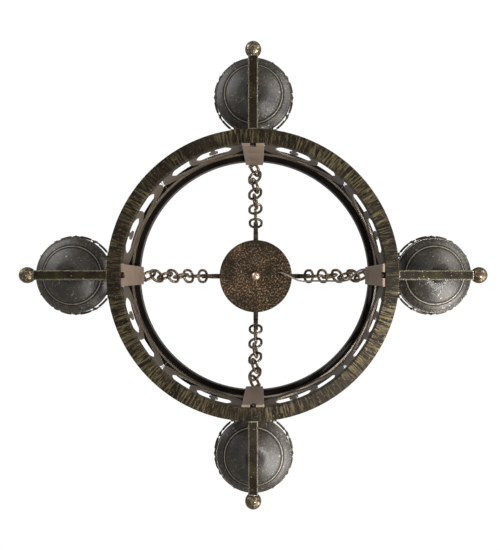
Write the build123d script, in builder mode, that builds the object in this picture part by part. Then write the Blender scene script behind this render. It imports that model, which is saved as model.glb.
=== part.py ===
"""Ring chandelier with four candle arms, hung by four chains from a small hub.

Millimetres, +Z up.  The origin is the centre of the hanging eye's bore.  Heights are
written as levels above the underside of the lower hoop, and level() turns them into Z.
"""
import os
from math import cos, pi, radians, sin, sqrt, tan

from build123d import *

# ---- driving dimensions ----
hang_drop = 373.0               # hanging eye's bore above the underside of the lower hoop
stations = 4                    # arms, clips, chains and pans, all round the axis

hoop_outer_r = 190.5
hoop_width = 18.5
hoop_height = 13.0
hoop_edge_r = 1.2
hoop_wall = 2.2
drum_height = 134.0
band_r = 181.0                  # middle of the pierced band's sheet
band_thickness = 2.0

clip_thickness = 2.8
clip_foot_width = 29.6
clip_head_width = 26.6
clip_foot_level = 0.6
clip_tab_thickness = 3.0
clip_tab_reach = 186.0
clip_edge_r = 1.3
notch_width = 8.0
notch_height = 12.0

arm_width = 13.0
arm_height = 10.0
arm_level = 7.0                 # middle of the arm's straight part
arm_wall = 1.3
arm_bend_r = 257.0
arm_end_r = 288.2
arm_edge = 1.0
ball_centre_r = 299.5
ball_centre_level = 18.0
ball_r = 10.8

pan_axis_r = 247.0
collar_r = 8.6
collar_top_level = 26.0
pan_step_r = 37.0
pan_step_level = 38.0
pan_rim_r = 51.0
pan_rim_level = 46.5
pan_sheet = 1.2
rim_bead_r = 1.3
nipple_r = 5.0
nipple_bore_r = 3.4
nipple_hole_r = nipple_r + 0.1

gallery_r = 53.4
gallery_groups = 12
gallery_rail_level = 55.5
scroll_r = 2.7
scroll_wire_r = 0.85

sleeve_r = 12.0
sleeve_wall = 1.3
sleeve_edge_r = 0.5
sleeve_foot_level = 34.0
sleeve_top_level = 146.0
holder_r = 9.6
bulb_neck_level = 146.0
bulb_r = 17.5
bulb_length = 92.0
base_r = 6.9

hub_eye_r = 86.6
hub_eye_level = 307.0
bolt_eye_r = 176.2
bolt_eye_level = 155.0
eye_hole_r = 6.9
eye_outer_r = 11.2
eye_thickness = 8.0
bolt_hole_r = 7.4
bolt_wire_r = 2.5
bolt_shank_r = 2.5
links = 8
link_wire_r = 2.25
link_width = 25.4
link_twist = 5.5                # degrees more than a quarter turn, from each link to the next
link_slack = 0.3

cover_r = 64.7
cover_level = 294.0
cover_sheet = 1.5
cover_rim_height = 6.0
cover_edge_r = 1.8
cord_hole_r = 4.5
cord_hole = (44.1, -6.7)
spider_level = 304.0
spider_thickness = 6.0
spider_plate_r = 26.0
bar_width = 8.6
stem_r = 6.0
stem_bore_r = 3.8
hang_eye_bore_r = 12.7
hang_eye_thickness = 8.0
cord_r = 1.5

# ---- values that follow ----
seam = 22.5                     # where each rolled ring's joint lies, away from the drilled holes
angles = [station * 360.0 / stations for station in range(stations)]
hoop_inner_r = hoop_outer_r - hoop_width
upper_hoop_level = drum_height - hoop_height
clip_back_r = sqrt(hoop_inner_r**2 - (clip_foot_width / 2) ** 2)
clip_face_r = clip_back_r - clip_thickness
tab_top_level = drum_height + clip_tab_thickness


def level(height):
    """Z of a height above the underside of the lower hoop."""
    return height - hang_drop


def outward(angle):
    return Vector(cos(radians(angle)), sin(radians(angle)), 0)


def sideways(angle):
    return Vector(-sin(radians(angle)), cos(radians(angle)), 0)


def upright(angle, reach=0.0, height=hang_drop):
    """Plane through the axis at this angle: x runs outward, y runs up."""
    origin = outward(angle) * reach + Vector(0, 0, level(height))
    return Plane(origin=origin, x_dir=outward(angle), z_dir=-sideways(angle))


def facing_out(angle, reach, height):
    """Plane square to the radius at this angle: x runs sideways, y runs up."""
    origin = outward(angle) * reach + Vector(0, 0, level(height))
    return Plane(origin=origin, x_dir=sideways(angle), z_dir=outward(angle))


def flat(height, angle=0.0, reach=0.0):
    """Level plane at a height, with x outward at this angle."""
    origin = outward(angle) * reach + Vector(0, 0, level(height))
    return Plane(origin=origin, x_dir=outward(angle), z_dir=(0, 0, 1))


def save(part, name):
    part.label = name
    export_step(part, f"parts/{name}.step")
    print(f"{name:22s} {len(part.solids()):3d} solids {part.volume:12.1f} mm3")


os.makedirs("parts", exist_ok=True)

# ---- lower hoop: a hollow bar rolled into a ring, with the wiring inside ----
arm_screw_level = 8.2
arm_screw_r = 2.0
wire_hole_r = 1.6
wire_level = 5.0
with BuildPart() as lower_hoop:
    with BuildSketch(upright(seam, hoop_outer_r - hoop_width / 2, hoop_height / 2)) as hoop_section:
        Rectangle(hoop_width, hoop_height)
        fillet(hoop_section.vertices(), hoop_edge_r)
        Rectangle(hoop_width - 2 * hoop_wall, hoop_height - 2 * hoop_wall, mode=Mode.SUBTRACT)
    revolve(axis=Axis.Z)
    for angle in angles:
        with BuildSketch(facing_out(angle, hoop_inner_r - 1, arm_screw_level)):
            Circle(arm_screw_r + 0.1)
        extrude(amount=hoop_width + 2, mode=Mode.SUBTRACT)
        with BuildSketch(facing_out(angle, band_r, wire_level)):
            Circle(wire_hole_r)
        extrude(amount=hoop_width, mode=Mode.SUBTRACT)
    with BuildSketch(flat(hoop_height / 2, 0, hoop_inner_r + 5)):
        Circle(cord_r + 0.5)
    extrude(amount=hoop_height, mode=Mode.SUBTRACT)
save(lower_hoop.part, "lower_hoop")

# ---- upper hoop: the same bar, solid, drilled for the eye bolts and the lead ----
lead_r = 176.6                  # the lead and its holes stand this far out
lead_side = -8.4                # and this far to one side of the +X clip
with BuildPart() as upper_hoop:
    with BuildSketch(flat(upper_hoop_level)):
        Circle(hoop_outer_r)
        Circle(hoop_inner_r, mode=Mode.SUBTRACT)
    extrude(amount=hoop_height)
    fillet(upper_hoop.edges().filter_by(GeomType.CIRCLE), hoop_edge_r)
    for angle in angles:
        with BuildSketch(flat(upper_hoop_level - 1, angle, bolt_eye_r)):
            Circle(bolt_shank_r + 0.1)
        extrude(amount=hoop_height + 2, mode=Mode.SUBTRACT)
    with BuildSketch(flat(upper_hoop_level - 1, 0, lead_r)):
        with Locations((0, lead_side)):
            Circle(cord_r + 1.2)
    extrude(amount=hoop_height + 2, mode=Mode.SUBTRACT)
save(upper_hoop.part, "upper_hoop")

# ---- pierced band: each eighth of the drum is one scroll panel, mirrored on the next ----
panels = 2 * stations
panel_half = band_r * sin(radians(180 / panels))
rail_height = 7.0
window_height = upper_hoop_level - hoop_height - 2 * rail_height
window_level = (upper_hoop_level + hoop_height) / 2
clip_post = 12.0                # solid stretch behind a clip, on each side of its middle
arch_half = 46.0
arch_bar = 16.0
arch_x = 6.0                    # arch's middle, from the panel's middle away from the clip
arch_crown = 6.0                # bar's height where the arch meets the rails
volute_r = 37.0
volute_bar = 11.0
volute_x = -13.5                # volute's centre, towards the clip
volute_eye_r = 6.5
volute_tail_half = 13.5
with BuildPart() as pierced_band:
    with BuildSketch(upright(seam, band_r, window_level)):
        Rectangle(band_thickness, upper_hoop_level - hoop_height)
    revolve(axis=Axis.Z)
    for panel in range(panels):
        middle = (panel + 0.5) * 360 / panels
        hand = 1 if panel % 2 == 0 else -1
        with BuildSketch(facing_out(middle, band_r - 20, window_level)):
            with Locations((hand * clip_post / 2, 0)):
                Rectangle(2 * panel_half - clip_post, window_height)
            with Locations((hand * arch_x, 0)):
                Ellipse(arch_half + arch_bar, window_height / 2 + 1, mode=Mode.SUBTRACT)
                Ellipse(arch_half, window_height / 2 - arch_crown)
            with Locations((hand * volute_x, 0)):
                Circle(volute_r, mode=Mode.SUBTRACT)
                Circle(volute_r - volute_bar)
                Circle(volute_eye_r, mode=Mode.SUBTRACT)
            with Locations((hand * volute_x, volute_bar - volute_r - 1 + volute_tail_half)):
                Ellipse(volute_eye_r / 2, volute_tail_half, mode=Mode.SUBTRACT)
        extrude(amount=40, mode=Mode.SUBTRACT)
save(pierced_band.part, "pierced_band")

# ---- chain clips: folded plates inside the drum, hooked over the upper hoop ----
for number, angle in enumerate(angles, start=1):
    with BuildPart() as chain_clip:
        with BuildSketch(facing_out(angle, clip_face_r, 0)):
            with BuildLine():
                Polyline(
                    (-clip_foot_width / 2, clip_foot_level),
                    (clip_foot_width / 2, clip_foot_level),
                    (clip_head_width / 2, tab_top_level),
                    (-clip_head_width / 2, tab_top_level),
                    close=True,
                )
            make_face()
            with Locations((0, clip_foot_level)):
                Rectangle(notch_width, 2 * (notch_height - notch_width / 2), mode=Mode.SUBTRACT)
            with Locations((0, clip_foot_level + notch_height - notch_width / 2)):
                Circle(notch_width / 2, mode=Mode.SUBTRACT)
        extrude(amount=clip_thickness)
        long_edges = chain_clip.edges().filter_by(lambda edge: edge.length > drum_height - 2)
        inner_edges = long_edges.sort_by(lambda edge: edge.center().dot(outward(angle)))[:2]
        fillet(inner_edges, clip_edge_r)
        with BuildSketch(flat(drum_height, angle, (clip_back_r + clip_tab_reach) / 2)):
            Rectangle(clip_tab_reach - clip_back_r + 1, clip_head_width)
        extrude(amount=clip_tab_thickness)
        with BuildSketch(flat(drum_height - 1, angle, bolt_eye_r)):
            Circle(bolt_shank_r + 0.1)
        extrude(amount=clip_tab_thickness + 2, mode=Mode.SUBTRACT)
        if number == 1:
            with BuildSketch(flat(drum_height - 1, angle, lead_r)):
                with Locations((0, lead_side)):
                    Circle(cord_r + 2.2)
            extrude(amount=clip_tab_thickness + 2, mode=Mode.SUBTRACT)
    save(chain_clip.part, f"chain_clip_{number}")

# ---- eye bolts and their nuts: each eye is turned to suit the twist of its chain ----
bolt_yaw = 47.0
eye_ring_r = bolt_hole_r + bolt_wire_r
nut_height = 4.5
nut_r = 5.6
with BuildPart() as eye_bolts:
    for angle in angles:
        eye_plane = upright(angle + bolt_yaw, 0, bolt_eye_level)
        eye_plane.origin = outward(angle) * bolt_eye_r + Vector(0, 0, level(bolt_eye_level))
        with Locations(eye_plane):
            Torus(eye_ring_r, bolt_wire_r)
        with BuildSketch(flat(upper_hoop_level, angle, bolt_eye_r)):
            Circle(bolt_shank_r)
        extrude(amount=bolt_eye_level - eye_ring_r - upper_hoop_level)
save(eye_bolts.part, "eye_bolts")

with BuildPart() as eye_bolt_nuts:
    for angle in angles:
        with BuildSketch(flat(tab_top_level, angle, bolt_eye_r)):
            RegularPolygon(nut_r, 6)
            Circle(bolt_shank_r, mode=Mode.SUBTRACT)
        extrude(amount=nut_height)
save(eye_bolt_nuts.part, "eye_bolt_nuts")

# ---- arms: hollow bars, straight from the hoop and turned up a little near the ball ----
rise = (ball_centre_level - arm_level) / (ball_centre_r - arm_bend_r)
lean = sqrt(1 + rise**2)
kink = arm_height / 2 * (lean - 1) / rise    # how far the two corners of the bend lie apart


def arm_outline(start_r, end_r, thickness):
    """Corners of the arm's side, or of its cavity's, around the arm's middle line."""
    half = thickness / 2
    end_level = arm_level + (end_r - arm_bend_r) * rise
    shift = half * rise / lean
    return [
        (start_r, arm_level - half),
        (arm_bend_r + kink, arm_level - half),
        (end_r + shift, end_level - half / lean),
        (end_r - shift, end_level + half / lean),
        (arm_bend_r - kink, arm_level + half),
        (start_r, arm_level + half),
    ]


arm_socket_r = 204.0            # the arm is solid up to here, for the screw
cavity_reach = 24.0             # cavity's end, beyond the pan's axis
for number, angle in enumerate(angles, start=1):
    with BuildPart() as arm:
        with BuildSketch(upright(angle, 0, 0)):
            with BuildLine():
                Polyline(*arm_outline(hoop_outer_r - 3, arm_end_r, arm_height), close=True)
            make_face()
        extrude(amount=arm_width / 2, both=True)
        run_edges = arm.edges().filter_by(lambda edge: edge.length > 20)
        chamfer(run_edges, arm_edge)
        with BuildSketch(upright(angle, 0, 0)):
            with BuildLine():
                cavity_end_r = pan_axis_r + cavity_reach
                Polyline(*arm_outline(arm_socket_r, cavity_end_r, arm_height - 2 * arm_wall), close=True)
            make_face()
        extrude(amount=arm_width / 2 - arm_wall, both=True, mode=Mode.SUBTRACT)
        with BuildSketch(facing_out(angle, hoop_outer_r - 4, arm_screw_level)):
            Circle(arm_screw_r + 0.1)
        extrude(amount=arm_socket_r - hoop_outer_r + 5, mode=Mode.SUBTRACT)
        with BuildSketch(facing_out(angle, hoop_outer_r - 4, wire_level)):
            Circle(wire_hole_r)
        extrude(amount=arm_socket_r - hoop_outer_r + 5, mode=Mode.SUBTRACT)
        with BuildSketch(flat(arm_level, angle, pan_axis_r)):
            Circle(nipple_hole_r)
        extrude(amount=arm_height, mode=Mode.SUBTRACT)
        with BuildSketch(flat(-1)):
            Circle(hoop_outer_r + 0.05)
        extrude(amount=hoop_height + 2, mode=Mode.SUBTRACT)
    save(arm.part, f"arm_{number}")

screw_head_r = 3.5
screw_head = 2.4
slot_width = 1.0
slot_depth = 0.9
head_gap = 0.05                 # head's clearance from the hoop
with BuildPart() as arm_screws:
    for angle in angles:
        with BuildSketch(facing_out(angle, hoop_inner_r - screw_head, arm_screw_level)):
            Circle(screw_head_r)
            Rectangle(2 * screw_head_r, slot_width, mode=Mode.SUBTRACT)
        extrude(amount=slot_depth)
        with BuildSketch(facing_out(angle, hoop_inner_r - screw_head + slot_depth, arm_screw_level)):
            Circle(screw_head_r)
        extrude(amount=screw_head - slot_depth - head_gap)
        with BuildSketch(facing_out(angle, hoop_inner_r - screw_head + slot_depth, arm_screw_level)):
            Circle(arm_screw_r)
        extrude(amount=arm_socket_r - hoop_inner_r)
save(arm_screws.part, "arm_screws")

# ---- ball finials: a ball on a short turned neck, on the end of each arm ----
neck_r = 4.6
neck_length = 4.0
for number, angle in enumerate(angles, start=1):
    arm_direction = outward(angle) * (1 / lean) + Vector(0, 0, rise / lean)
    arm_end = outward(angle) * arm_end_r + Vector(0, 0, level(arm_level + (arm_end_r - arm_bend_r) * rise))
    with BuildPart() as ball_finial:
        with BuildSketch(Plane(origin=arm_end, z_dir=arm_direction)):
            Circle(neck_r)
        extrude(amount=neck_length)
        with Locations(outward(angle) * ball_centre_r + Vector(0, 0, level(ball_centre_level))):
            Sphere(ball_r)
    save(ball_finial.part, f"ball_finial_{number}")

# ---- under each pan: a turned collar around a threaded nipple ----
arm_top = arm_level + arm_height / 2
collar_flange_r = collar_r + 1.6
collar_waist_r = 6.6
collar_foot_height = 2.0
collar_waist_height = 5.0
collar_neck_height = 8.0
collar_flange_height = 10.0
nipple_foot_level = arm_level + 1.0
nipple_top_level = 104.0
with BuildPart() as pan_collars:
    for angle in angles:
        with BuildSketch(upright(angle, pan_axis_r, 0)):
            with BuildLine():
                waist = (collar_waist_r, arm_top + collar_waist_height)
                neck = (collar_r, arm_top + collar_neck_height)
                Polyline(
                    neck,
                    (collar_flange_r, arm_top + collar_flange_height),
                    (collar_flange_r, collar_top_level),
                    (nipple_hole_r, collar_top_level),
                    (nipple_hole_r, arm_top),
                    (collar_r, arm_top),
                    (collar_r, arm_top + collar_foot_height),
                )
                ThreePointArc((collar_r, arm_top + collar_foot_height), waist, neck)
            make_face()
        revolve(axis=Axis(outward(angle) * pan_axis_r, (0, 0, 1)))
save(pan_collars.part, "pan_collars")

with BuildPart() as candle_nipples:
    for angle in angles:
        with BuildSketch(flat(nipple_foot_level, angle, pan_axis_r)):
            Circle(nipple_r)
            Circle(nipple_bore_r, mode=Mode.SUBTRACT)
        extrude(amount=nipple_top_level - nipple_foot_level)
save(candle_nipples.part, "candle_nipples")

# ---- drip pans: spun sheet, a shallow bowl with a step, a flaring rim and a rolled edge ----
pan_foot_r = 12.0
step_height = 1.1
step_slope = 0.4
pan_hole = (nipple_hole_r, collar_top_level)
pan_foot = (pan_foot_r, collar_top_level)
bowl_middle = (24.5, 29.6)
step_inner = (pan_step_r - step_slope, pan_step_level - step_height)
step_outer = (pan_step_r + step_slope, pan_step_level)
flange_middle = (44.6, 41.6)
pan_rim = (pan_rim_r, pan_rim_level)
bowl_ends = ((1, 0), (1, 0.75))
flange_ends = ((1, 0.45), (1, 0.8))


def raised(point):
    """The same point on the sheet's upper face."""
    return (point[0], point[1] + pan_sheet)


def reverse(directions):
    return tuple((-x, -y) for x, y in reversed(directions))


for number, angle in enumerate(angles, start=1):
    with BuildPart() as drip_pan:
        with BuildSketch(upright(angle, pan_axis_r, 0)):
            with BuildLine():
                Line(pan_hole, pan_foot)
                Spline(pan_foot, bowl_middle, step_inner, tangents=bowl_ends)
                Line(step_inner, step_outer)
                Spline(step_outer, flange_middle, pan_rim, tangents=flange_ends)
                Line(pan_rim, raised(pan_rim))
                flange_back = reverse(flange_ends)
                Spline(raised(pan_rim), raised(flange_middle), raised(step_outer), tangents=flange_back)
                Line(raised(step_outer), raised(step_inner))
                bowl_back = reverse(bowl_ends)
                Spline(raised(step_inner), raised(bowl_middle), raised(pan_foot), tangents=bowl_back)
                Line(raised(pan_foot), raised(pan_hole))
                Line(raised(pan_hole), pan_hole)
            make_face()
            with Locations((pan_rim_r, pan_rim_level + pan_sheet / 2)):
                Circle(rim_bead_r)
        revolve(axis=Axis(outward(angle) * pan_axis_r, (0, 0, 1)))
    save(drip_pan.part, f"drip_pan_{number}")

# ---- galleries: a low openwork crown on each pan's rim ----
gallery_foot_level = pan_rim_level + pan_sheet / 2 + rim_bead_r
foot_r = 2.0
foot_height = 4.0
rail_thickness = 1.8
rail_depth = 1.4
tip_r = 1.6
tip_height = 3.0
post_r = 0.9
scroll_sides = 10
curl_level = gallery_rail_level + rail_thickness / 2 + scroll_r
tip_level = curl_level + scroll_r + 1.0
with BuildPart() as gallery_pattern:
    with BuildSketch(upright(0, 0, 0)):
        with Locations((gallery_r, gallery_rail_level)):
            Rectangle(rail_depth, rail_thickness)
    revolve(axis=Axis.Z)
    for group in range(gallery_groups):
        turn = group * 360 / gallery_groups
        with BuildSketch(flat(gallery_foot_level, turn, pan_rim_r + rim_bead_r)):
            RegularPolygon(foot_r, 8)
        extrude(amount=foot_height)
        with BuildSketch(flat(gallery_foot_level + foot_height - 1, turn, gallery_r)):
            RegularPolygon(post_r, 8)
        extrude(amount=tip_level - gallery_foot_level - foot_height + 1)
        with BuildSketch(flat(tip_level - tip_height / 2, turn, gallery_r)):
            RegularPolygon(tip_r, 8)
        extrude(amount=tip_height)
        for side in (-1, 1):
            curl = facing_out(turn, gallery_r, curl_level)
            curl.origin = curl.origin + sideways(turn) * side * (scroll_r + 0.2)
            with BuildSketch(curl):
                RegularPolygon(scroll_r + scroll_wire_r, scroll_sides)
                RegularPolygon(scroll_r - scroll_wire_r, scroll_sides, mode=Mode.SUBTRACT)
            extrude(amount=scroll_wire_r, both=True)
for number, angle in enumerate(angles, start=1):
    with BuildPart() as gallery:
        with Locations(outward(angle) * pan_axis_r):
            add(gallery_pattern.part, rotation=(0, 0, angle))
    save(gallery.part, f"gallery_{number}")

# ---- candle cups, sleeves, lampholders and bulbs, one of each on every pan ----
cup_foot = (10.5, collar_top_level + pan_sheet)
cup_belly = (13.2, 31.0)
cup_shoulder = (14.4, 36.5)
cup_neck = (13.8, 48.0)
cup_flare = (14.6, 53.5)
cup_rim = (17.0, 58.0)
cup_lip = (15.5, 58.6)
cup_throat = (13.2, 54.0)
cup_bore_r = sleeve_r + 0.3
for number, angle in enumerate(angles, start=1):
    with BuildPart() as candle_cup:
        with BuildSketch(upright(angle, pan_axis_r, 0)):
            with BuildLine():
                ThreePointArc(cup_foot, cup_belly, cup_shoulder)
                Line(cup_shoulder, cup_neck)
                ThreePointArc(cup_neck, cup_flare, cup_rim)
                Line(cup_rim, cup_lip)
                ThreePointArc(cup_lip, cup_throat, (cup_bore_r, cup_neck[1]))
                Polyline(
                    (cup_bore_r, cup_neck[1]),
                    (cup_bore_r, sleeve_foot_level),
                    (nipple_hole_r, sleeve_foot_level),
                    (nipple_hole_r, cup_foot[1]),
                    cup_foot,
                )
            make_face()
        revolve(axis=Axis(outward(angle) * pan_axis_r, (0, 0, 1)))
    save(candle_cup.part, f"candle_cup_{number}")

    with BuildPart() as candle_sleeve:
        with BuildSketch(flat(sleeve_foot_level, angle, pan_axis_r)):
            Circle(sleeve_r)
            Circle(sleeve_r - sleeve_wall, mode=Mode.SUBTRACT)
        extrude(amount=sleeve_top_level - sleeve_foot_level)
        fillet(candle_sleeve.edges().group_by(Axis.Z)[-1], sleeve_edge_r)
    save(candle_sleeve.part, f"candle_sleeve_{number}")

holder_foot_level = 96.0
holder_top_level = 143.0
holder_bore_foot_level = nipple_top_level + 2.0
holder_bore_r = base_r + 0.6
with BuildPart() as lampholders:
    for angle in angles:
        with BuildSketch(flat(holder_foot_level, angle, pan_axis_r)):
            Circle(holder_r)
        extrude(amount=holder_top_level - holder_foot_level)
        with BuildSketch(flat(holder_bore_foot_level, angle, pan_axis_r)):
            Circle(holder_bore_r)
        extrude(amount=holder_top_level - holder_bore_foot_level, mode=Mode.SUBTRACT)
        with BuildSketch(flat(holder_foot_level - 1, angle, pan_axis_r)):
            Circle(nipple_hole_r)
        extrude(amount=nipple_top_level - holder_foot_level + 1, mode=Mode.SUBTRACT)
        with BuildSketch(flat(holder_foot_level, angle, pan_axis_r)):
            Circle(wire_hole_r)
        extrude(amount=holder_bore_foot_level - holder_foot_level + 1, mode=Mode.SUBTRACT)
save(lampholders.part, "lampholders")

base_shoulder_level = 122.0
base_tip_height = 4.0
base_tip_taper = 40.0
glass = 1.0
glass_points = ((6.6, 0.0), (9.6, 7.0), (bulb_r, 33.0), (9.5, 68.0), (3.6, bulb_length - 7.0))
for number, angle in enumerate(angles, start=1):
    with BuildPart() as bulb_base:
        with BuildSketch(flat(base_shoulder_level, angle, pan_axis_r)):
            Circle(base_r)
        extrude(amount=bulb_neck_level - base_shoulder_level)
        with BuildSketch(flat(base_shoulder_level, angle, pan_axis_r)):
            Circle(base_r)
        extrude(amount=-base_tip_height, taper=base_tip_taper)
    save(bulb_base.part, f"bulb_base_{number}")

    with BuildPart() as bulb_glass:
        with BuildSketch(upright(angle, pan_axis_r, 0)):
            with BuildLine():
                outer = [(x, bulb_neck_level + y) for x, y in glass_points]
                tip = (0, bulb_neck_level + bulb_length)
                inner = [(x - glass, y) for x, y in outer]
                inner_tip = (0, bulb_neck_level + bulb_length - 1.3 * glass)
                Spline(*outer, tip, tangents=((0.5, 1), (-1, 0)))
                Line(tip, inner_tip)
                Spline(inner_tip, *inner[::-1], tangents=((1, 0), (-0.5, -1)))
                Line(inner[0], outer[0])
            make_face()
        revolve(axis=Axis(outward(angle) * pan_axis_r, (0, 0, 1)))
    save(bulb_glass.part, f"bulb_glass_{number}")

# ---- chains: oblong links, each turned a little more than a quarter from the last ----
run = sqrt((bolt_eye_r - hub_eye_r) ** 2 + (hub_eye_level - bolt_eye_level) ** 2)
hub_play = eye_hole_r - link_wire_r - 1.7    # first link, off the middle of the hub eye
bolt_play = 2.3                 # the last link hangs this far off the middle of the bolt's eye
pitch = (run - hub_play - bolt_play - 2 * link_wire_r - link_slack) / links
link_inner_length = pitch + link_slack
bend_r = link_width / 2 - link_wire_r
side_length = link_inner_length + 4 * link_wire_r - link_width


def chain_frame(angle):
    """Direction from the hub to the ring along this chain, and the upright across it."""
    fall = outward(angle) * (bolt_eye_r - hub_eye_r) + Vector(0, 0, bolt_eye_level - hub_eye_level)
    return fall.normalized(), fall.normalized().cross(sideways(angle))


for number, angle in enumerate(angles, start=1):
    hub_eye = outward(angle) * hub_eye_r + Vector(0, 0, level(hub_eye_level))
    along, across = chain_frame(angle)
    with BuildPart() as chain:
        for link in range(links):
            turn = radians(link * (90 + link_twist))
            middle = hub_eye + along * (hub_play + link_wire_r + link_inner_length / 2 + link * pitch)
            wide = sideways(angle) * cos(turn) + across * sin(turn)
            link_plane = Plane(origin=middle, x_dir=along, z_dir=along.cross(wide))
            with BuildLine(link_plane):
                Line((-side_length / 2, -bend_r), (side_length / 2, -bend_r))
                ThreePointArc(
                    (side_length / 2, -bend_r), (side_length / 2 + bend_r, 0), (side_length / 2, bend_r)
                )
                Line((side_length / 2, bend_r), (-side_length / 2, bend_r))
                ThreePointArc(
                    (-side_length / 2, bend_r), (-side_length / 2 - bend_r, 0), (-side_length / 2, -bend_r)
                )
            with BuildSketch(Plane(origin=middle - wide * bend_r - along * side_length / 2, z_dir=along)):
                Circle(link_wire_r)
            sweep()
    save(chain.part, f"chain_{number}")

# ---- hub: a spider plate with four bars and upright eyes, in a turned body ----
stud_r = 3.0
cord_drop = (17.0, -5.0)        # where the lamp cord comes down through the spider plate
with BuildPart() as hub_spider:
    with BuildSketch(flat(spider_level)):
        Circle(spider_plate_r)
        Circle(stud_r + 0.1, mode=Mode.SUBTRACT)
        with Locations(cord_drop):
            Circle(cord_r + 3.0, mode=Mode.SUBTRACT)
    extrude(amount=spider_thickness)
    for angle in angles:
        bar_start_r = spider_plate_r - 2
        bar_end_r = hub_eye_r - eye_hole_r
        with BuildSketch(flat(spider_level, angle, (bar_start_r + bar_end_r) / 2)):
            Rectangle(bar_end_r - bar_start_r, bar_width)
        extrude(amount=spider_thickness)
        eye_plane = upright(angle, hub_eye_r, hub_eye_level)
        with BuildSketch(eye_plane):
            Circle(eye_outer_r)
        extrude(amount=eye_thickness / 2, both=True)
        with BuildSketch(eye_plane):
            Circle(eye_hole_r)
        extrude(amount=bar_width, both=True, mode=Mode.SUBTRACT)
save(hub_spider.part, "hub_spider")

# ---- hub body: a shallow turned canopy on the spider, with a shelf for the stem's nut ----
body_foot_level = spider_level + spider_thickness
body_r = 60.0
body_wall = 3.0
body_edge = 2.0
shelf_level = body_foot_level + 17.0
body_top_level = shelf_level + 4.0
crown_r = 14.0
nut_room_r = 12.5
stem_hole_r = stem_r + 0.5
with BuildPart() as hub_body:
    with BuildSketch(upright(0, 0, 0)):
        with BuildLine():
            Line((body_r - body_wall, body_foot_level), (body_r, body_foot_level))
            Line((body_r, body_foot_level), (body_r, body_foot_level + body_edge))
            Spline(
                (body_r, body_foot_level + body_edge),
                (26.0, body_foot_level + 10.0),
                (crown_r, body_top_level),
                tangents=((-1, 0.5), (-0.35, 1)),
            )
            Line((crown_r, body_top_level), (stem_hole_r, body_top_level))
            Line((stem_hole_r, body_top_level), (stem_hole_r, shelf_level))
            Line((stem_hole_r, shelf_level), (nut_room_r, shelf_level))
            Line((nut_room_r, shelf_level), (nut_room_r, body_foot_level + 8.0))
            Spline(
                (nut_room_r, body_foot_level + 8.0),
                (26.0, body_foot_level + 10.0 - body_wall),
                (body_r - body_wall, body_foot_level),
                tangents=((1, -0.1), (1, -0.5)),
            )
        make_face()
    revolve(axis=Axis.Z)
save(hub_body.part, "hub_body")

spacer_r = 6.5
with BuildPart() as cover_spacer:
    with BuildSketch(flat(cover_level + cover_sheet)):
        Circle(spacer_r)
        Circle(stud_r + 0.1, mode=Mode.SUBTRACT)
    extrude(amount=spider_level - cover_level - cover_sheet)
save(cover_spacer.part, "cover_spacer")

with BuildPart() as hub_cover:
    with BuildSketch(flat(cover_level)):
        Circle(cover_r)
    extrude(amount=cover_rim_height)
    fillet(hub_cover.edges().group_by(Axis.Z)[0], cover_edge_r)
    with BuildSketch(flat(cover_level + cover_sheet)):
        Circle(cover_r - cover_sheet)
    extrude(amount=cover_rim_height, mode=Mode.SUBTRACT)
    with BuildSketch(flat(cover_level - 1)):
        Circle(stud_r + 0.1)
        with Locations(cord_hole):
            Circle(cord_hole_r)
    extrude(amount=cover_sheet + 2, mode=Mode.SUBTRACT)
save(hub_cover.part, "hub_cover")

finial_ball_r = 8.0
finial_level = 284.5
washer_r = 6.2
washer_thickness = 2.6
with BuildPart() as hub_finial:
    with BuildSketch(flat(finial_level)):
        Circle(stud_r)
    extrude(amount=body_foot_level - 0.5 - finial_level)
    with BuildSketch(flat(cover_level - washer_thickness)):
        Circle(washer_r)
    extrude(amount=washer_thickness)
    with Locations((0, 0, level(finial_level))):
        Sphere(finial_ball_r)
save(hub_finial.part, "hub_finial")

# ---- stem, stem nut and hanging eye: what the hub turns on ----
nut_gap = 0.3
stem_nut_height = 6.0
nut_outer_r = 10.5
boss_r = 10.0
boss_height = 10.0
boss_bore_depth = 13.0
eye_wall = 7.0
eye_edge_r = 2.0
boss_foot_level = hang_drop - hang_eye_bore_r - eye_wall - 6.0
with BuildPart() as stem:
    with BuildSketch(flat(shelf_level - nut_gap - stem_nut_height)):
        Circle(stem_r)
        Circle(stem_bore_r, mode=Mode.SUBTRACT)
    extrude(amount=boss_foot_level - shelf_level + nut_gap + stem_nut_height)
save(stem.part, "stem")

with BuildPart() as stem_nut:
    with BuildSketch(flat(shelf_level - nut_gap - stem_nut_height)):
        RegularPolygon(nut_outer_r, 6)
        Circle(stem_r, mode=Mode.SUBTRACT)
    extrude(amount=stem_nut_height)
save(stem_nut.part, "stem_nut")

with BuildPart() as hanging_eye:
    with BuildSketch(upright(90, 0, hang_drop)):
        Circle(hang_eye_bore_r + eye_wall)
    extrude(amount=hang_eye_thickness / 2, both=True)
    fillet(hanging_eye.edges(), eye_edge_r)
    with BuildSketch(flat(boss_foot_level)):
        Circle(boss_r)
    extrude(amount=boss_height)
    with BuildSketch(upright(90, 0, hang_drop)):
        Circle(hang_eye_bore_r)
    extrude(amount=boss_r + 1, both=True, mode=Mode.SUBTRACT)
    with BuildSketch(flat(boss_foot_level)):
        Circle(stem_bore_r)
    extrude(amount=boss_bore_depth, mode=Mode.SUBTRACT)
save(hanging_eye.part, "hanging_eye")

# ---- lamp cord: down through the spider and the cover, then along the +X chain ----
cord_side = 8.4                 # sideways from the chain's line
cord_below = 4.4                # and this far towards the floor


def beside_chain(distance, aside=cord_side, below=cord_below):
    """Point beside the +X chain, this far along it from the hub's eye."""
    along, across = chain_frame(0)
    hub_eye = outward(0) * hub_eye_r + Vector(0, 0, level(hub_eye_level))
    return hub_eye + along * distance + sideways(0) * aside - across * below


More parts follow.
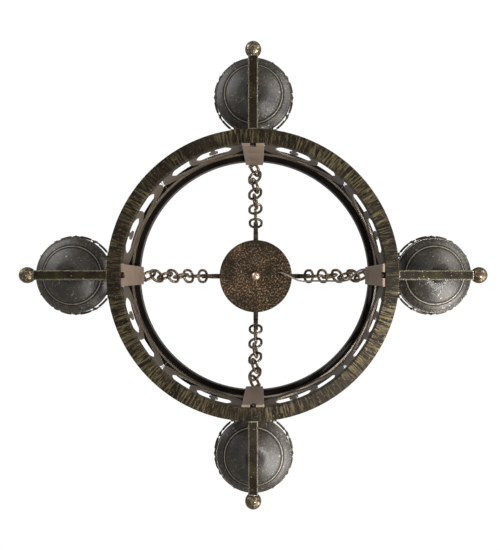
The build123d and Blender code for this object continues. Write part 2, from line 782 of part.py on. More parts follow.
cord_points = [
    Vector(cord_drop[0], cord_drop[1], level(body_foot_level + 3.5)),
    Vector(cord_drop[0] + 0.5, cord_drop[1] - 0.5, level(301.5)),
    Vector(33.0, -6.5, level(300.2)),
    Vector(43.6, -6.9, level(297.2)),
    Vector(45.8, -6.4, level(289.8)),
    Vector(57.0, -1.8, level(286.8)),
    Vector(70.0, 5.6, level(286.0)),
    Vector(82.0, 9.4, level(287.4)),
    beside_chain(19.0, cord_side + 0.6, cord_below + 1.0),
    beside_chain(38.0),
    beside_chain(66.0, cord_side, cord_below + 0.5),
    beside_chain(95.0),
    beside_chain(124.0, cord_side, cord_below + 0.6),
    beside_chain(144.0, 6.0, 10.0),
    beside_chain(160.0, -3.0, 12.5),
    Vector(lead_r - 10.0, lead_side - 1.5, level(167.5)),
    Vector(lead_r - 0.5, lead_side - 2.0, level(158.0)),
    Vector(lead_r, lead_side, level(tab_top_level + 2)),
]


def bend_radii(points):
    """Largest arc that the two runs at each corner leave room for."""
    radii = []
    for before, corner, after in zip(points, points[1:], points[2:]):
        turn = radians((corner - before).get_angle(after - corner))
        radii.append(0.45 * min((corner - before).length, (after - corner).length) / tan(turn / 2))
    return radii


cord_radii = bend_radii(cord_points)
print("lamp cord bends:", ", ".join(f"{radius:.1f}" for radius in cord_radii))
with BuildPart() as lamp_cord:
    with BuildLine() as cord_path:
        FilletPolyline(*cord_points, radius=cord_radii)
    with BuildSketch(Plane(origin=cord_points[0], z_dir=cord_points[1] - cord_points[0])):
        Circle(cord_r)
    sweep()
cord_length = sum(edge.length for edge in cord_path.edges())
print(f"lamp cord: {cord_length:.1f} mm long, volume against section times length:",
      f"{lamp_cord.part.volume / (pi * cord_r**2 * cord_length):.4f}")
save(lamp_cord.part, "lamp_cord")

# ---- lead: from the end of the cord down behind the clip into the lower hoop ----
with BuildPart() as drum_lead:
    lead_top = Vector(lead_r, lead_side, level(tab_top_level + 0.6))
    with BuildLine():
        FilletPolyline(
            lead_top,
            Vector(lead_r, lead_side, level(upper_hoop_level - 8)),
            Vector(hoop_inner_r + 5, 0, level(hoop_height + 14)),
            Vector(hoop_inner_r + 5, 0, level(hoop_height - hoop_wall + 0.4)),
            radius=[30.0, 12.0],
        )
    with BuildSketch(Plane(origin=lead_top, z_dir=(0, 0, -1))):
        Circle(cord_r)
    sweep()
save(drum_lead.part, "drum_lead")

# ---- wiring: a ring of wire in the lower hoop and a lead up to each lampholder ----
wire_r = 0.9
with BuildPart() as wiring:
    with Locations((0, 0, level(wire_level))):
        Torus(band_r - 2, wire_r)
    for angle in angles:
        start = outward(angle) * (band_r - 1 + wire_r) + Vector(0, 0, level(wire_level))
        corner = outward(angle) * pan_axis_r + Vector(0, 0, level(wire_level))
        end = outward(angle) * pan_axis_r + Vector(0, 0, level(nipple_top_level + 1))
        with BuildLine():
            FilletPolyline(start, corner, end, radius=2.0)
        with BuildSketch(Plane(origin=start, z_dir=outward(angle))):
            Circle(wire_r)
        sweep()
save(wiring.part, "wiring")
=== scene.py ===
"""Ring chandelier with four candle arms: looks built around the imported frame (metres, +Z up)."""

import math
import random

import bmesh
import bpy
from mathutils import Matrix, Vector


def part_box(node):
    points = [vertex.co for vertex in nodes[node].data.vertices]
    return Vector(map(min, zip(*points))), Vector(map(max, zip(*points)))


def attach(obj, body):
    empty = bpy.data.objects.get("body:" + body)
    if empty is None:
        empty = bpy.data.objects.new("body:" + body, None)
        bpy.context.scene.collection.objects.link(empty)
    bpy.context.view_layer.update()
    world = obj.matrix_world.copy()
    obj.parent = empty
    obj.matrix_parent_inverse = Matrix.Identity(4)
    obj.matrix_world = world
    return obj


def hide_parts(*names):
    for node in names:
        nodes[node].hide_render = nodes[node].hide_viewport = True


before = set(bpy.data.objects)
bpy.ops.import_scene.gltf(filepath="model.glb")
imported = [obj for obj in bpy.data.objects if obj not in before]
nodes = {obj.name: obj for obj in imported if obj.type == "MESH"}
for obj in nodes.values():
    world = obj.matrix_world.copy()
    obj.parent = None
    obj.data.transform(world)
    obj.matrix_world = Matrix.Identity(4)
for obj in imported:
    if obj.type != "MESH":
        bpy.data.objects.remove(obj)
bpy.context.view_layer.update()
scene = bpy.context.scene

# ---- places, worked out from the frame ----
HOOP_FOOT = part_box("lower_hoop")[0].z
STATIONS = range(1, 5)
PAN_BOX = [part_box(f"drip_pan_{number}") for number in STATIONS]
PAN_CENTRE = [Vector(((low.x + high.x) / 2, (low.y + high.y) / 2, low.z)) for low, high in PAN_BOX]


# ---- node helpers for materials ----
class Shader:
    """A material's node tree with short calls for the nodes used here."""

    def __init__(self, name):
        self.material = bpy.data.materials.new(name)
        self.material.use_nodes = True
        self.tree = self.material.node_tree
        self.surface = self.tree.nodes["Principled BSDF"]
        self.object_coords = self.add("ShaderNodeTexCoord").outputs["Object"]

    def add(self, kind, **settings):
        node = self.tree.nodes.new(kind)
        for key, value in settings.items():
            setattr(node, key, value)
        return node

    def link(self, source, target):
        self.tree.links.new(source, target)

    def feed(self, value, socket):
        if isinstance(value, bpy.types.NodeSocket):
            self.link(value, socket)
        else:
            socket.default_value = value

    def math(self, operation, *values):
        node = self.add("ShaderNodeMath", operation=operation)
        for value, socket in zip(values, node.inputs):
            self.feed(value, socket)
        return node.outputs[0]

    def offset(self, centre):
        """Object coordinates measured from a centre."""
        node = self.add("ShaderNodeVectorMath", operation="SUBTRACT")
        self.link(self.object_coords, node.inputs[0])
        node.inputs[1].default_value = centre
        return node.outputs[0]

    def stretch(self, vector, scale):
        node = self.add("ShaderNodeVectorMath", operation="MULTIPLY")
        self.link(vector, node.inputs[0])
        node.inputs[1].default_value = scale
        return node.outputs[0]

    def polar(self, vector, turn_scale, radius_scale, height_scale):
        """Coordinates that run with the turn at one scale, and with the radius and height at others."""
        parts = self.add("ShaderNodeSeparateXYZ")
        self.link(vector, parts.inputs[0])
        x, y, z = parts.outputs
        squares = self.math("ADD", self.math("MULTIPLY", x, x), self.math("MULTIPLY", y, y))
        radius = self.math("SQRT", squares)
        per_turn = self.math("DIVIDE", turn_scale, self.math("MAXIMUM", radius, 1e-4))
        outward = self.math("MULTIPLY", radius, radius_scale)
        upward = self.math("MULTIPLY", z, height_scale)
        joined = self.add("ShaderNodeCombineXYZ")
        self.link(self.math("MULTIPLY", x, per_turn), joined.inputs[0])
        self.link(self.math("MULTIPLY", y, per_turn), joined.inputs[1])
        self.link(self.math("ADD", outward, upward), joined.inputs[2])
        return joined.outputs[0]

    def edges(self, radius, softest=0.985, sharpest=0.80):
        """White along edges: where a normal rounded by that radius leaves the surface's own."""
        bevel = self.add("ShaderNodeBevel", samples=6)
        bevel.inputs["Radius"].default_value = radius
        likeness = self.add("ShaderNodeVectorMath", operation="DOT_PRODUCT")
        self.link(bevel.outputs[0], likeness.inputs[0])
        self.link(self.add("ShaderNodeNewGeometry").outputs["Normal"], likeness.inputs[1])
        return self.ramp(likeness.outputs["Value"], (sharpest, 1.0), (softest, 0.0))

    def noise(self, vector, scale, detail=4.0, roughness=0.55, distortion=0.0):
        node = self.add("ShaderNodeTexNoise")
        self.link(vector, node.inputs["Vector"])
        node.inputs["Scale"].default_value = scale
        node.inputs["Detail"].default_value = detail
        node.inputs["Roughness"].default_value = roughness
        node.inputs["Distortion"].default_value = distortion
        return node.outputs["Fac"]

    def ramp(self, value, *stops):
        """stops are (position, colour or grey)."""
        node = self.add("ShaderNodeValToRGB")
        self.feed(value, node.inputs[0])
        elements = node.color_ramp.elements
        while len(elements) < len(stops):
            elements.new(0.5)
        for element, (position, colour) in zip(elements, stops):
            element.position = position
            element.color = (colour,) * 3 + (1,) if isinstance(colour, (int, float)) else (*colour, 1)
        return node.outputs[0]

    def fade(self, value, full, gone):
        """1 up to one value and 0 past another: for widths too small for a colour ramp."""
        node = self.add("ShaderNodeMapRange")
        self.link(value, node.inputs["Value"])
        for socket, amount in (("From Min", full), ("From Max", gone), ("To Min", 1.0), ("To Max", 0.0)):
            node.inputs[socket].default_value = amount
        return node.outputs[0]

    def mix(self, factor, first, second):
        node = self.add("ShaderNodeMix", data_type="RGBA")
        self.feed(factor, node.inputs[0])
        for value, socket in ((first, node.inputs[6]), (second, node.inputs[7])):
            self.feed(value if isinstance(value, bpy.types.NodeSocket) else (*value, 1), socket)
        return node.outputs[2]

    def bump(self, height, strength, distance, below=None):
        node = self.add("ShaderNodeBump")
        node.inputs["Strength"].default_value = strength
        node.inputs["Distance"].default_value = distance
        self.link(height, node.inputs["Height"])
        if below is not None:
            self.link(below, node.inputs["Normal"])
        return node.outputs[0]

    def set(self, **values):
        """Sets or links the surface's sockets, and gives the finished material."""
        names = {"colour": "Base Color", "roughness": "Roughness", "metallic": "Metallic", "normal": "Normal",
                 "specular": "Specular IOR Level", "transmission": "Transmission Weight", "ior": "IOR"}
        for key, value in values.items():
            if isinstance(value, tuple):
                value = (*value, 1)
            self.feed(value, self.surface.inputs[names[key]])
        return self.material


FINE_GRAIN = 520.0              # noise scales shared by the aged metals, per metre
SPOT_SCALE = 330.0
SCUFF_SCALE = 160.0
HAZE_SCALE = 60.0
PATCH_SCALE = 26.0
STROKE_PATCHES = 15.0
STEP_HALF = 0.0022              # half the width of the round step in a drip pan
STEP_FADE = 0.0008
STEP_SHADE = 0.6                # how far the step is darkened as painted shade and dulled
# painted shade colour on the step
STEP_SHADE_BLACK = (0.004, 0.003, 0.002)
LINE_HALF = 0.0002              # half the width of the painted highlight around that step
LINE_FADE = 0.0005
LINE_SHARE = 0.75


def aged_metal(name, paint_colour, metal, centre=(0, 0, 0), stroke=None, stroke_amount=0.8, specks=0.5,
               mottle=28.0, sheen=0.08, rough=(0.38, 0.54), wear_and_highlight=0.6, wear_and_highlight_width=0.0009, tint=None, ring=None,
               painted_light_wall=None, gloss=0.12):
    """Dark paint over metal, showing the metal in specks, brush strokes, edges and a ring; the edges are
    lightened partly by rubbing and partly as a painted highlight.

    ring is the radius of a round step darkened as painted shade and dulled, with one painted highlight around
    it;
    wall is the lighter colour painted on upright faces as painted light, the others staying dark as painted
    shade."""
    shader = Shader(name)
    local = shader.offset(centre)

    # paint: clouded, tinted in patches, and a lighter colour on upright faces as painted light, leaving the
    # other faces dark as painted shade
    cloud = shader.noise(local, mottle, 5)
    dark = tuple(value * 0.5 for value in paint_colour)
    light = tuple(value * 1.7 for value in paint_colour)
    colour = shader.ramp(cloud, (0.30, dark), (0.50, paint_colour), (0.70, light))
    if tint is not None:
        stain = shader.ramp(shader.noise(local, mottle * 0.45, 3), (0.50, 0.0), (0.66, 0.8))
        colour = shader.mix(stain, colour, tint)
    if painted_light_wall is not None:
        facing = shader.add("ShaderNodeSeparateXYZ")
        shader.link(shader.add("ShaderNodeTexCoord").outputs["Normal"], facing.inputs[0])
        upright = shader.ramp(shader.math("ABSOLUTE", facing.outputs[2]), (0.3, 0.9), (0.7, 0.0))
        colour = shader.mix(upright, colour, painted_light_wall)

    # metal showing: specks, then strokes across the part, then edges, lightened partly by rubbing and partly
    # as a painted highlight
    fine = shader.noise(local, FINE_GRAIN, 4, 0.65)
    spots = shader.noise(local, SPOT_SCALE, 3, 0.75)
    patches = shader.noise(local, PATCH_SCALE, 3)
    start = 0.70 - 0.16 * specks
    rubbed_and_highlit = shader.math("MULTIPLY", shader.ramp(spots, (start, 0.0), (start + 0.10, 1.0)),
                         shader.ramp(patches, (0.34, 0.25), (0.60, 1.0)))
    height = fine
    if stroke is not None:
        lines = shader.noise(shader.polar(local, *stroke), 1.0, 7, 0.70, 0.3)
        thin_places = shader.ramp(shader.noise(local, STROKE_PATCHES, 2), (0.38, 0.25), (0.56, 1.0))
        drawn = shader.math("MULTIPLY", shader.ramp(lines, (0.49, 0.0), (0.60, stroke_amount)), thin_places)
        rubbed_and_highlit = shader.math("MAXIMUM", rubbed_and_highlit, drawn)
        height = shader.math("ADD", shader.math("MULTIPLY", lines, 1.6), shader.math("MULTIPLY", fine, 0.6))
    scuffs = shader.ramp(shader.noise(local, SCUFF_SCALE, 3), (0.30, 0.35), (0.55, 1.0))
    worn_and_highlit = shader.math("MULTIPLY", shader.math("MULTIPLY", shader.edges(wear_and_highlight_width), scuffs), wear_and_highlight)
    rubbed_and_highlit = shader.math("MAXIMUM", rubbed_and_highlit, worn_and_highlit)
    haze = shader.ramp(shader.noise(local, HAZE_SCALE, 4), (0.3, rough[0]), (0.7, rough[1]))

    # the step: darkened as painted shade and dulled, with one painted highlight around it
    if ring is not None:
        reach = shader.add("ShaderNodeVectorMath", operation="LENGTH")
        shader.link(shader.stretch(local, (1, 1, 0)), reach.inputs[0])
        away = shader.math("ABSOLUTE", shader.math("SUBTRACT", reach.outputs["Value"], ring))
        painted_highlight_line = shader.math("MULTIPLY", shader.fade(away, LINE_HALF, LINE_HALF + LINE_FADE), LINE_SHARE)
        painted_highlight_line = shader.math("MULTIPLY", painted_highlight_line, scuffs)
        step = shader.math("MULTIPLY", shader.fade(away, STEP_HALF, STEP_HALF + STEP_FADE), STEP_SHADE)
        outside = shader.math("SUBTRACT", 1.0, step)
        colour = shader.mix(step, colour, STEP_SHADE_BLACK)
        rubbed_and_highlit = shader.math("MAXIMUM", shader.math("MULTIPLY", rubbed_and_highlit, outside), painted_highlight_line)
        haze = shader.math("MULTIPLY_ADD", step, 0.30, haze)
        gloss = shader.math("MULTIPLY", gloss, outside)

    colour = shader.mix(rubbed_and_highlit, colour, metal)
    bare = shader.math("MULTIPLY_ADD", rubbed_and_highlit, 0.9 - sheen, sheen)
    normal = shader.bump(height, 0.4, 0.0004)
    normal = shader.bump(cloud, 0.12, 0.0010, normal)
    return shader.set(colour=colour, roughness=haze, metallic=bare, normal=normal, specular=gloss)


def smooth_finish(name, base, metallic=0.3, rough=(0.38, 0.52), mottle=40.0, worn_and_highlit=(0.6, 0.55, 0.46),
                  wear_and_highlight=0.5):
    """Smooth sprayed finish with a little cloud in its colour, and edges lightened partly by rubbing and
    partly as a painted highlight.
    """
    shader = Shader(name)
    coords = shader.object_coords
    cloud = shader.noise(coords, mottle, 4)
    dark = tuple(value * 0.8 for value in base)
    light = tuple(min(1.0, value * 1.18) for value in base)
    colour = shader.ramp(cloud, (0.3, dark), (0.7, light))
    colour = shader.mix(shader.math("MULTIPLY", shader.edges(0.0006), wear_and_highlight), colour, worn_and_highlit)
    fine = shader.noise(coords, 500.0, 3)
    roughness = shader.ramp(cloud, (0.3, rough[0]), (0.7, rough[1]))
    normal = shader.bump(fine, 0.2, 0.0003)
    return shader.set(colour=colour, roughness=roughness, metallic=metallic, normal=normal)


def paint(node_name, material):
    slots = nodes[node_name].data.materials
    slots.clear()
    slots.append(material)


def paint_all(prefix, material):
    for number in STATIONS:
        paint(f"{prefix}_{number}", material)


OLD_GOLD = (0.40, 0.31, 0.15)
HOOP_GOLD = (0.24, 0.19, 0.095)
BLACK_BROWN = (0.0085, 0.0056, 0.0030)
ARM_BROWN = (0.0135, 0.0088, 0.0044)
ARM_RUB_AND_HIGHLIGHT = (0.80, 0.72, 0.52)
ARM_OLIVE = (0.024, 0.021, 0.005)
PAN_BROWN = (0.0125, 0.0078, 0.0038)
PAN_RUB_AND_HIGHLIGHT = (0.42, 0.38, 0.30)
BRONZE_BROWN = (0.055, 0.043, 0.030)
RADIAL = (90.0, 50.0, 50.0)     # brush strokes across the rim
SPUN = (70.0, 110.0, 110.0)     # strokes in the pans, between radial and round
STEP_SHARE = 0.757              # middle of the pan's step, over the pan's radius

# Drum
# lower hoop: lightened edges, partly rubbing and partly a painted highlight
paint("lower_hoop", aged_metal(
    "hoop_iron", BLACK_BROWN, HOOP_GOLD, stroke=RADIAL, stroke_amount=0.50, specks=0.6, wear_and_highlight=1.0,
    wear_and_highlight_width=0.0013))
# upper hoop: near-black as painted shade, upright faces lighter as painted light
paint("upper_hoop", aged_metal(
    "upper_hoop_iron", (0.0055, 0.0038, 0.0028), (0.20, 0.165, 0.13), specks=0.2, wear_and_highlight=0.5, wear_and_highlight_width=0.0012,
    painted_light_wall=(0.085, 0.072, 0.064)))
paint("pierced_band", smooth_finish(
    "scroll_iron", (0.088, 0.064, 0.042), metallic=0.2, worn_and_highlit=(0.62, 0.53, 0.42), wear_and_highlight=0.8))
paint_all("chain_clip", smooth_finish("clip_iron", (0.198, 0.135, 0.094), metallic=0.15))

# Arms, pans, galleries and cups: one finish each, centred on its own pan
for number, centre, (low, high) in zip(STATIONS, PAN_CENTRE, PAN_BOX):
    # arms: bright edges, partly rubbing and partly a painted highlight
    paint(f"arm_{number}", aged_metal(
        f"arm_iron_{number}", ARM_BROWN, ARM_RUB_AND_HIGHLIGHT, centre, specks=0.4, mottle=75.0, wear_and_highlight=1.0,
        wear_and_highlight_width=0.0018, tint=ARM_OLIVE))
    # pans: a step darkened as painted shade, with a painted highlight around it
    paint(f"drip_pan_{number}", aged_metal(
        f"pan_bronze_{number}", PAN_BROWN, PAN_RUB_AND_HIGHLIGHT, centre, stroke=SPUN, stroke_amount=0.16, sheen=0.25,
        specks=0.6, rough=(0.27, 0.36), wear_and_highlight=1.0, wear_and_highlight_width=0.0008, ring=STEP_SHARE * (high.x - low.x) / 2,
        gloss=0.80))
    for part, mottle in ((f"gallery_{number}", 120.0), (f"candle_cup_{number}", 60.0)):
        paint(part, aged_metal(
            f"{part}_bronze", BRONZE_BROWN, OLD_GOLD, centre, sheen=0.6, mottle=mottle, rough=(0.28, 0.42),
            wear_and_highlight=0.6))
paint_all("ball_finial", aged_metal(
    "aged_brass", (0.085, 0.062, 0.038), (0.60, 0.52, 0.36), sheen=0.75, mottle=150.0, rough=(0.20, 0.36),
    specks=1.1, wear_and_highlight=0.0))
paint("arm_screws", smooth_finish("screw_black", (0.012, 0.010, 0.008), metallic=0.4,
                                  worn_and_highlit=(0.12, 0.10, 0.08)))
# near-black collar, standing in for the shade in the gap between arm and pan
paint("pan_collars", smooth_finish(
    "collar_black", (0.0035, 0.003, 0.0025), metallic=0.0, rough=(0.6, 0.75), worn_and_highlit=(0.05, 0.045, 0.03)))

# Chains
chain_bronze = aged_metal(
    "chain_bronze", (0.092, 0.064, 0.041), (0.58, 0.47, 0.33), sheen=0.7, mottle=110.0, rough=(0.24, 0.40),
    specks=1.1, wear_and_highlight=0.3)
paint_all("chain", chain_bronze)
paint("eye_bolts", chain_bronze)
paint("eye_bolt_nuts", chain_bronze)

# Hub
paint("hub_finial", aged_metal(
    "aged_copper", (0.50, 0.35, 0.25), (0.92, 0.82, 0.66), sheen=0.85, mottle=260.0, rough=(0.18, 0.32),
    specks=1.2))
paint("hub_cover", aged_metal(
    "cover_iron", (0.0165, 0.0090, 0.0040), (0.26, 0.195, 0.118), specks=1.1, mottle=55.0, rough=(0.42, 0.60),
    tint=(0.040, 0.017, 0.008), wear_and_highlight=0.2))
hub_iron = aged_metal("hub_iron", (0.030, 0.021, 0.013), OLD_GOLD, mottle=60.0)
for name in ("hub_body", "hub_spider", "hanging_eye"):
    paint(name, hub_iron)
zinc = smooth_finish("zinc_steel", (0.38, 0.36, 0.32), metallic=1.0, rough=(0.28, 0.42))
for name in ("candle_nipples", "cover_spacer", "stem", "stem_nut"):
    paint(name, zinc)

# Candles and wiring
paint_all("candle_sleeve", smooth_finish(
    "candle_ivory", (0.72, 0.62, 0.42), metallic=0.0, mottle=25.0, worn_and_highlit=(0.85, 0.78, 0.6)))
paint("lampholders", smooth_finish("holder_black", (0.02, 0.02, 0.02), metallic=0.0, worn_and_highlit=(0.05, 0.05, 0.05)))
paint_all("bulb_base", smooth_finish("cap_brass", (0.60, 0.50, 0.28), metallic=1.0, rough=(0.2, 0.34)))
flex = smooth_finish("lamp_flex", (0.22, 0.185, 0.15), metallic=0.0, mottle=90.0, worn_and_highlit=(0.4, 0.35, 0.28))
for name in ("drum_lead", "wiring"):
    paint(name, flex)


def clear_glass():
    shader = Shader("lamp_glass")
    dust = shader.noise(shader.object_coords, 40.0, 4)
    return shader.set(colour=(0.96, 0.95, 0.92), roughness=shader.ramp(dust, (0.4, 0.02), (0.8, 0.10)),
                      transmission=1.0, ior=1.45, normal=shader.bump(dust, 0.03, 0.0005))


paint_all("bulb_glass", clear_glass())


# ---- pieces made here ----
def new_object(name, data, material):
    """A new object from a curve or a mesh, in the scene and with its material."""
    data.materials.append(material)
    piece = bpy.data.objects.new(name, data)
    scene.collection.objects.link(piece)
    return piece


def wire_curve(name, depth, resolution):
    """An empty curve whose splines become round wires with that radius."""
    data = bpy.data.curves.new(name, "CURVE")
    data.dimensions = "3D"
    data.bevel_depth = depth
    data.bevel_resolution = resolution
    data.use_fill_caps = True
    return data


def wires_piece(name, wires, depth, material, body):
    """One piece of many round wires; each point is (place, share of the radius)."""
    data = wire_curve(name, depth, 3)
    for points in wires:
        spline = data.splines.new("POLY")
        spline.points.add(len(points) - 1)
        for point, (place, factor) in zip(spline.points, points):
            point.co = (*place, 1)
            point.radius = factor
    piece = new_object(name, data, material)
    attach(piece, body)
    return piece


def mesh_piece(name, shape, material, body):
    """A smooth mesh piece from a bmesh."""
    mesh = bpy.data.meshes.new(name)
    shape.to_mesh(mesh)
    shape.free()
    for face in mesh.polygons:
        face.use_smooth = True
    piece = new_object(name, mesh, material)
    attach(piece, body)
    return piece


# Lamp cord: out of the hub, through the cover, beside the first chain and down into the drum
CORD_DIAMETER = 0.003
CORD_ROUTE = [
    (0.0170, -0.0050, -0.0595), (0.0170, -0.0053, -0.0730), (0.0330, -0.0065, -0.0738),
    (0.0436, -0.0069, -0.0760), (0.0458, -0.0064, -0.0832), (0.0570, -0.0018, -0.0862),
    (0.0700, 0.0056, -0.0870), (0.0820, 0.0094, -0.0856), (0.0916, 0.0090, -0.0851),
    (0.1021, 0.0084, -0.1010), (0.1159, 0.0084, -0.1253), (0.1311, 0.0084, -0.1501),
    (0.1453, 0.0084, -0.1754), (0.1511, 0.0060, -0.1951), (0.1571, -0.0030, -0.2102),
    (0.1666, -0.0099, -0.2055), (0.1761, -0.0104, -0.2150), (0.1766, -0.0084, -0.2340)]

cord_data = wire_curve("lamp_cord_line", CORD_DIAMETER / 2, 4)
cord_line = cord_data.splines.new("NURBS")
cord_line.points.add(len(CORD_ROUTE) - 1)
for point, place in zip(cord_line.points, CORD_ROUTE):
    point.co = (*place, 1)
cord_line.order_u = 3
cord_line.use_endpoint_u = True
cord_line.resolution_u = 8
cord_piece = new_object("lamp_cord_flex", cord_data, flex)
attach(cord_piece, "chain_1")
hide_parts("lamp_cord")

# Galleries: on each pan, groups of two C-scrolls back to back on two foot curls, with a post,
# beads, and a short rail from each group to the next
GROUPS = 12
CURL_WIRE = 0.0008              # radius of the wire
CROWN_INSET = 0.0013            # ring of the crown, inside the CAD crown's outside
RAIL_RISE = 0.0082              # rail above the foot
SCROLL = {"start": -95, "sweep": 500, "size": 0.0034, "shrink": 0.78, "aside": 0.0037, "hand": -1,
          "middle": 0.0040, "thick": 1.15, "thinning": 0.35, "steps": 27}
FOOT_CURL = {"start": 90, "sweep": 330, "size": 0.0021, "shrink": 0.70, "aside": 0.0022, "hand": 1,
             "middle": -0.0027, "thick": 0.9, "thinning": 0.3, "steps": 15}
RAIL_DASH = 0.0075              # half a short rail
RAIL_SIDE_BEAD = 0.0105         # from a group's middle to the beads beside it
BEAD_FOOT, BEAD_TOP, BEAD_RAIL = 0.0015, 0.0016, 0.0019
BEAD_FOOT_INSET = 0.0014


def gallery_pieces(number):
    centre = PAN_CENTRE[number - 1]
    low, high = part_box(f"gallery_{number}")
    ring = (high.x - low.x) / 2 - CROWN_INSET
    foot = low.z
    rail = foot + RAIL_RISE
    top = high.z

    def place(turn, aside, height, reach=0.0):
        """A point on the crown: a turn about the pan, a step along the ring, a height."""
        angle = turn + aside / ring
        radius = ring + reach
        return Vector((centre.x + radius * math.cos(angle), centre.y + radius * math.sin(angle), height))

    def curl(turn, side, start, sweep, size, shrink, aside, hand, middle, thick, thinning, steps):
        """A scroll that winds in towards its own middle, on one side of its group."""
        points = []
        for step in range(steps):
            part = step / (steps - 1)
            swing = math.radians(start + sweep * part)
            radius = size * (1 - shrink * part)
            across = side * (aside + hand * radius * math.cos(swing))
            height = rail + middle + radius * math.sin(swing)
            points.append((place(turn, across, height), thick - thinning * part))
        return points

    wires = []
    heading = math.atan2(centre.y, centre.x)
    turns = [heading + math.tau * group / GROUPS for group in range(GROUPS)]
    half_gap = math.pi * ring / GROUPS
    for turn in turns:
        for side in (-1, 1):
            wires.append(curl(turn, side, **SCROLL))
            wires.append(curl(turn, side, **FOOT_CURL))
        wires.append([(place(turn, 0, foot + 0.001), 0.9), (place(turn, 0, top - 0.0012), 0.9)])
        wires.append([(place(turn, half_gap + RAIL_DASH * (step / 6 - 1), rail), 1.9) for step in range(13)])
    wires.append([(place(heading, math.tau * ring * step / 180, rail), 0.5) for step in range(181)])
    bronze = nodes[f"gallery_{number}"].data.materials[0]
    lace = wires_piece(f"gallery_scrolls_{number}", wires, CURL_WIRE, bronze, "ring")

    beads = bmesh.new()
    spots = [(0.0, foot + BEAD_FOOT, -BEAD_FOOT_INSET, BEAD_FOOT), (0.0, top - BEAD_TOP, 0.0, BEAD_TOP),
             (0.0, rail, 0.0, BEAD_RAIL)]
    spots += [(side * RAIL_SIDE_BEAD, rail, 0.0, BEAD_FOOT) for side in (-1, 1)]
    for turn in turns:
        for aside, height, reach, size in spots:
            bmesh.ops.create_uvsphere(beads, u_segments=14, v_segments=9, radius=size,
                                      matrix=Matrix.Translation(place(turn, aside, height, reach)))
    bead_piece = mesh_piece(f"gallery_beads_{number}", beads, bronze, "ring")
    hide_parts(f"gallery_{number}")
    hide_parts(f"gallery_{number}")


# Wax collars: runs of wax down each candle sleeve from its top
WAX_RUNS = 9
WAX_COLUMNS, WAX_ROWS = 144, 26
WAX_SKIRT = 0.0045              # how far down the wax reaches where nothing has run
WAX_WAVE = 0.0012
WAX_SKIN = 0.0006               # its thickness at the top
WAX_DROP = 0.0011               # how much thicker a long run's foot is
WAX_RIPPLE = 0.0002
WAX_LONG = 0.02                 # a run this long has its full thickness
WAX_CLEAR = 0.00005             # off the sleeve
WAX_CROWN = 0.0004              # above the sleeve's top
WAX_LIP = 0.93                  # inner edge on the sleeve's top, over the sleeve's radius


def wax_collar(number):
    low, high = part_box(f"candle_sleeve_{number}")
    centre = (low + high) / 2
    sleeve_r = (high.x - low.x) / 2
    draw = random.Random(40 + number)
    runs = [(draw.uniform(0, math.tau), draw.uniform(0.010, 0.042), draw.uniform(0.12, 0.22))
            for _ in range(WAX_RUNS)]
    angles = [math.tau * column / WAX_COLUMNS for column in range(WAX_COLUMNS)]
    shape = bmesh.new()

    def depth_at(angle):
        """How far the wax has run down at this angle."""
        depth = WAX_SKIRT + WAX_WAVE * math.sin(3 * angle + number)
        for middle, length, width in runs:
            gap = (angle - middle + math.pi) % math.tau - math.pi
            depth = max(depth, length * math.exp(-((gap / width) ** 4)))
        return depth

    def corner(radius, angle, height):
        return shape.verts.new((centre.x + radius * math.cos(angle),
                                centre.y + radius * math.sin(angle), height))

    loops = [[corner(sleeve_r * WAX_LIP, angle, high.z + WAX_CROWN / 2) for angle in angles]]
    for row in range(WAX_ROWS + 1):
        part = row / WAX_ROWS
        thinning = math.sqrt(max(0.0, 1 - part ** 14))
        loop = []
        for angle in angles:
            depth = depth_at(angle)
            drop = min(1.0, depth / WAX_LONG)
            swell = WAX_SKIN + WAX_DROP * drop * part ** 3 + WAX_RIPPLE * math.sin(7 * angle + 9 * part)
            height = high.z + WAX_CROWN * (1 - part) - depth * part
            loop.append(corner(sleeve_r + WAX_CLEAR + swell * thinning, angle, height))
        loops.append(loop)
    for above, below in zip(loops, loops[1:]):
        for column in range(WAX_COLUMNS):
            after = (column + 1) % WAX_COLUMNS
            shape.faces.new((above[column], below[column], below[after], above[after]))
    ivory = nodes[f"candle_sleeve_{number}"].data.materials[0]
    mesh_piece(f"wax_collar_{number}", shape, ivory, "ring")


# Filaments: a glass stem, two support wires and a long loop of fine wire in each bulb
FILAMENT_WIRE = 0.00025
STEM_FOOT = 0.003               # above the glass's lower end
STEM_STEPS = 11
STEM_WIDE, STEM_NARROW = 12, 6  # its width at the foot and what it loses, over the wire's
PINCH, PINCH_SHARE = 5, 0.12    # the pinched end, where the supports leave the glass
COIL_TURNS = 30
COIL_R = 0.0004
COIL_STEPS = 180
LOOP_HALF = 0.0044              # half the width of the loop
LOOP_RISE = 0.016
STEM_SHARE = 0.20               # heights, over the glass's own
BEND_SHARE = 0.22
ELBOW_SHARE = 0.30
LOOP_SHARE = 0.50


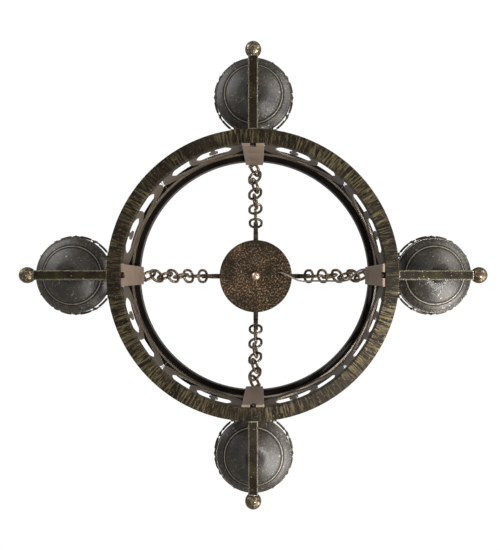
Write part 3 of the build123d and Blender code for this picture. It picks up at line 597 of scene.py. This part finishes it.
def filament(number):
    low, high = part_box(f"bulb_glass_{number}")
    centre = (low + high) / 2
    base = low.z + STEM_FOOT
    tall = high.z - low.z

    def at(x, y, up):
        return Vector((centre.x + x, centre.y + y, base + up))

    wires = []
    for side in (-1, 1):
        wires.append([(at(side * 0.0012, 0, 0.0), 1), (at(side * 0.0016, 0, tall * BEND_SHARE), 1),
                      (at(side * 0.0042, 0, tall * ELBOW_SHARE), 1),
                      (at(side * LOOP_HALF, 0, tall * LOOP_SHARE), 1)])
    coil = []
    for step in range(COIL_STEPS + 1):
        part = step / COIL_STEPS
        spin = math.tau * COIL_TURNS * part
        arch = math.pi * part
        coil.append((at(LOOP_HALF * math.cos(arch) + COIL_R * math.cos(spin), COIL_R * math.sin(spin),
                        tall * LOOP_SHARE + LOOP_RISE * math.sin(arch)), 0.4))
    wires.append(coil)
    stem = []
    for step in range(STEM_STEPS + 1):
        part = step / STEM_STEPS
        pinch = PINCH * math.exp(-((part - 1) / PINCH_SHARE) ** 2)
        stem.append((at(0, 0, tall * STEM_SHARE * part), STEM_WIDE - STEM_NARROW * part + pinch))
    brass = nodes[f"bulb_base_{number}"].data.materials[0]
    glass = nodes[f"bulb_glass_{number}"].data.materials[0]
    wires_piece(f"filament_{number}", wires, FILAMENT_WIRE, brass, f"bulb_{number}")
    wires_piece(f"filament_stem_{number}", [stem], FILAMENT_WIRE, glass, f"bulb_{number}")


for number in STATIONS:
    gallery_pieces(number)
for number in STATIONS:
    wax_collar(number)
    filament(number)

# ---- studio: floor, light and camera ----
FLOOR_DROP = 1.25               # floor below the lower hoop
FLOOR_R = 12.0
SEEN_WHITE = 1.02               # strength of the backdrop as it is looked at
SOFT_WHITE = 0.44               # strength with which it lights the object

floor_mesh = bpy.data.meshes.new("studio_floor")
floor_shape = bmesh.new()
bmesh.ops.create_circle(floor_shape, cap_ends=True, segments=96, radius=FLOOR_R)
floor_shape.to_mesh(floor_mesh)
floor_shape.free()
floor = bpy.data.objects.new("studio_floor", floor_mesh)
scene.collection.objects.link(floor)
floor.location.z = HOOP_FOOT - FLOOR_DROP
floor_finish = Shader("studio_floor_finish")
floor_cloud = floor_finish.noise(floor_finish.object_coords, 3.0, 3)
floor_mesh.materials.append(floor_finish.set(
    colour=floor_finish.ramp(floor_cloud, (0.3, 0.76), (0.7, 0.82)), roughness=0.8))

world = bpy.data.worlds.new("studio")
scene.world = world
scene.view_settings.view_transform = "Standard"
world.use_nodes = True
world_tree = world.node_tree
background = world_tree.nodes["Background"]
background.inputs["Color"].default_value = (1.0, 1.0, 1.0, 1)
ray = world_tree.nodes.new("ShaderNodeLightPath")
seen = world_tree.nodes.new("ShaderNodeMath")
seen.operation = "MAXIMUM"
strength = world_tree.nodes.new("ShaderNodeMapRange")
strength.inputs["To Min"].default_value = SOFT_WHITE
strength.inputs["To Max"].default_value = SEEN_WHITE
world_tree.links.new(ray.outputs["Is Camera Ray"], seen.inputs[0])
world_tree.links.new(ray.outputs["Is Transmission Ray"], seen.inputs[1])
world_tree.links.new(seen.outputs[0], strength.inputs["Value"])
world_tree.links.new(strength.outputs[0], background.inputs["Strength"])


def softbox(name, place, aim, size, watts, spread=180):
    """A rectangular light that looks at a point; spread is in degrees."""
    data = bpy.data.lights.new(name, "AREA")
    data.spread = math.radians(spread)
    data.shape = "RECTANGLE"
    data.size, data.size_y = size
    data.energy = watts
    lamp = bpy.data.objects.new(name, data)
    scene.collection.objects.link(lamp)
    lamp.location = place
    lamp.rotation_euler = (Vector(aim) - Vector(place)).to_track_quat("-Z", "Y").to_euler()


MIDDLE = Vector((0, 0, HOOP_FOOT))
softbox("key", (1.15, 0.95, HOOP_FOOT - 0.62), MIDDLE, (1.4, 1.15), 38)
softbox("side", (1.35, -0.75, HOOP_FOOT - 0.50), MIDDLE, (1.3, 1.0), 15)
softbox("low_key", (0.50, 0.32, HOOP_FOOT - 0.75), (0.17, 0.12, HOOP_FOOT), (0.20, 0.20), 0.60, spread=44)
softbox("rim", (-1.3, -1.0, HOOP_FOOT - 0.2), MIDDLE, (1.4, 1.0), 11)

CAMERA_DROP = 0.778             # camera below the lower hoop's underside
CAMERA_ASIDE = (0.0130, 0.0051)
camera_data = bpy.data.cameras.new("camera")
camera = bpy.data.objects.new("camera", camera_data)
scene.collection.objects.link(camera)
scene.camera = camera
camera.location = (CAMERA_ASIDE[0], CAMERA_ASIDE[1], HOOP_FOOT - CAMERA_DROP)
camera.rotation_euler = (math.pi, 0, 0)
camera_data.lens = 39.27
camera_data.shift_x = -0.0236
camera_data.shift_y = 0.0073
camera_data.clip_start = 0.01
